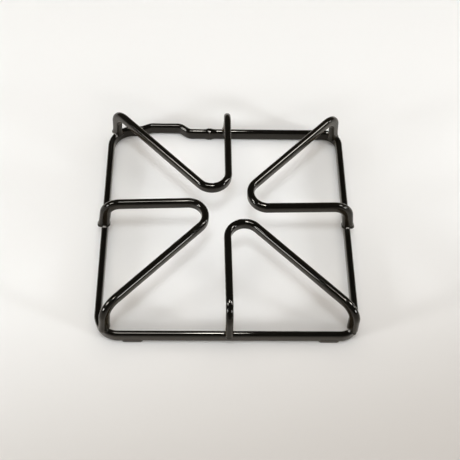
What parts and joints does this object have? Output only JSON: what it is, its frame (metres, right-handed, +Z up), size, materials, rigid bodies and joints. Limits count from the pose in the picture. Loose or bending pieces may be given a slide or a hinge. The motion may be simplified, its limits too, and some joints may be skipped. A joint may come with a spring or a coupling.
{
  "type": "hob pan support",
  "caption": "Square welded pan support for a hob burner: a flat-bar ring carries V-shaped fingers on raised legs that hold a pan above the flame.",
  "frame": {"origin": "on the burner axis, in the plane under the two front feet", "axes": "+Z up along the burner axis, -Y towards the bar with the feet, +X to the right seen from that bar"},
  "size_m": [0.2116, 0.2145, 0.0432],
  "materials": {
    "black_enamel": "gloss"
  },
  "bodies": {
    "root": {"ring_frame": "black_enamel", "front_finger": "black_enamel", "right_finger": "black_enamel", "back_finger": "black_enamel", "left_finger": "black_enamel", "front_left_foot": "black_enamel", "front_right_foot": "black_enamel"}
  },
  "joints": []
}
